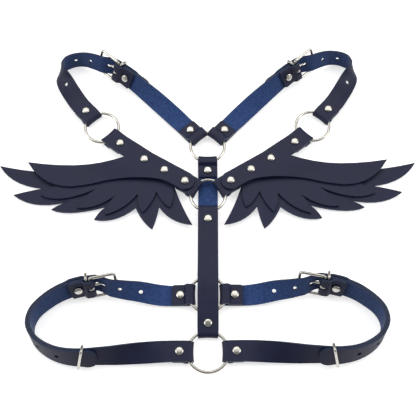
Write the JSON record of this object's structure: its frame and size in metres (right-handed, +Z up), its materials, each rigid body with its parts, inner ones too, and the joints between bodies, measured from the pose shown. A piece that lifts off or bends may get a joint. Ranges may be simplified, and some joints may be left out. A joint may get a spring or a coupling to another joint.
{
  "type": "wing harness",
  "caption": "Leather body harness with cut leather wings, a buckled belt loop and buckled shoulder straps joined by metal rings and rivets.",
  "frame": {"origin": "bottom centre of the bounding box, on the table the harness lies on", "axes": "+X across the wings to the right as pictured, +Y from the belt towards the shoulders, +Z up from the table"},
  "size_m": [0.432, 0.3486, 0.029],
  "materials": {
    "leather": "dark navy veg-tanned leather, satin grain side, blue suede flesh side",
    "nickel": "polished nickel plate"
  },
  "bodies": {
    "root": {"wing_base_right": "leather", "wing_middle_right": "leather", "wing_top_right": "leather", "wing_strap_right": "leather", "rivet_wing_inner_right": "nickel", "rivet_wing_mid_right": "nickel", "rivet_wing_outer_right": "nickel", "rivet_wing_shoulder_right": "nickel", "wing_base_left": "leather", "wing_middle_left": "leather", "wing_top_left": "leather", "wing_strap_left": "leather", "rivet_wing_inner_left": "nickel", "rivet_wing_mid_left": "nickel", "rivet_wing_outer_left": "nickel", "rivet_wing_shoulder_left": "nickel", "shoulder_ring_right": "nickel", "shoulder_tongue_right": "leather", "shoulder_strap_right": "leather", "shoulder_buckle_right": "nickel", "shoulder_keeper_right": "nickel", "rivet_shoulder_tongue_right": "nickel", "rivet_shoulder_top_right": "nickel", "rivet_shoulder_buckle_right": "nickel", "shoulder_ring_left": "nickel", "shoulder_tongue_left": "leather", "shoulder_strap_left": "leather", "shoulder_buckle_left": "nickel", "shoulder_keeper_left": "nickel", "rivet_shoulder_tongue_left": "nickel", "rivet_shoulder_top_left": "nickel", "rivet_shoulder_buckle_left": "nickel", "top_ring": "nickel", "belt_tongue_right": "leather", "belt_strap_right": "leather", "belt_buckle_right": "nickel", "belt_keeper_right": "nickel", "belt_slide_right": "nickel", "rivet_belt_front_right": "nickel", "rivet_belt_back_right": "nickel", "rivet_belt_buckle_right": "nickel", "belt_tongue_left": "leather", "belt_strap_left": "leather", "belt_buckle_left": "nickel", "belt_keeper_left": "nickel", "belt_slide_left": "nickel", "rivet_belt_front_left": "nickel", "rivet_belt_back_left": "nickel", "rivet_belt_buckle_left": "nickel", "belt_ring_back": "nickel", "belt_ring_front": "nickel", "spine_strap": "leather", "rivet_spine_upper": "nickel", "rivet_spine_lower": "nickel", "chest_strap": "leather", "rivet_chest_upper": "nickel", "rivet_chest_lower": "nickel", "back_ring": "nickel"}
  },
  "joints": []
}
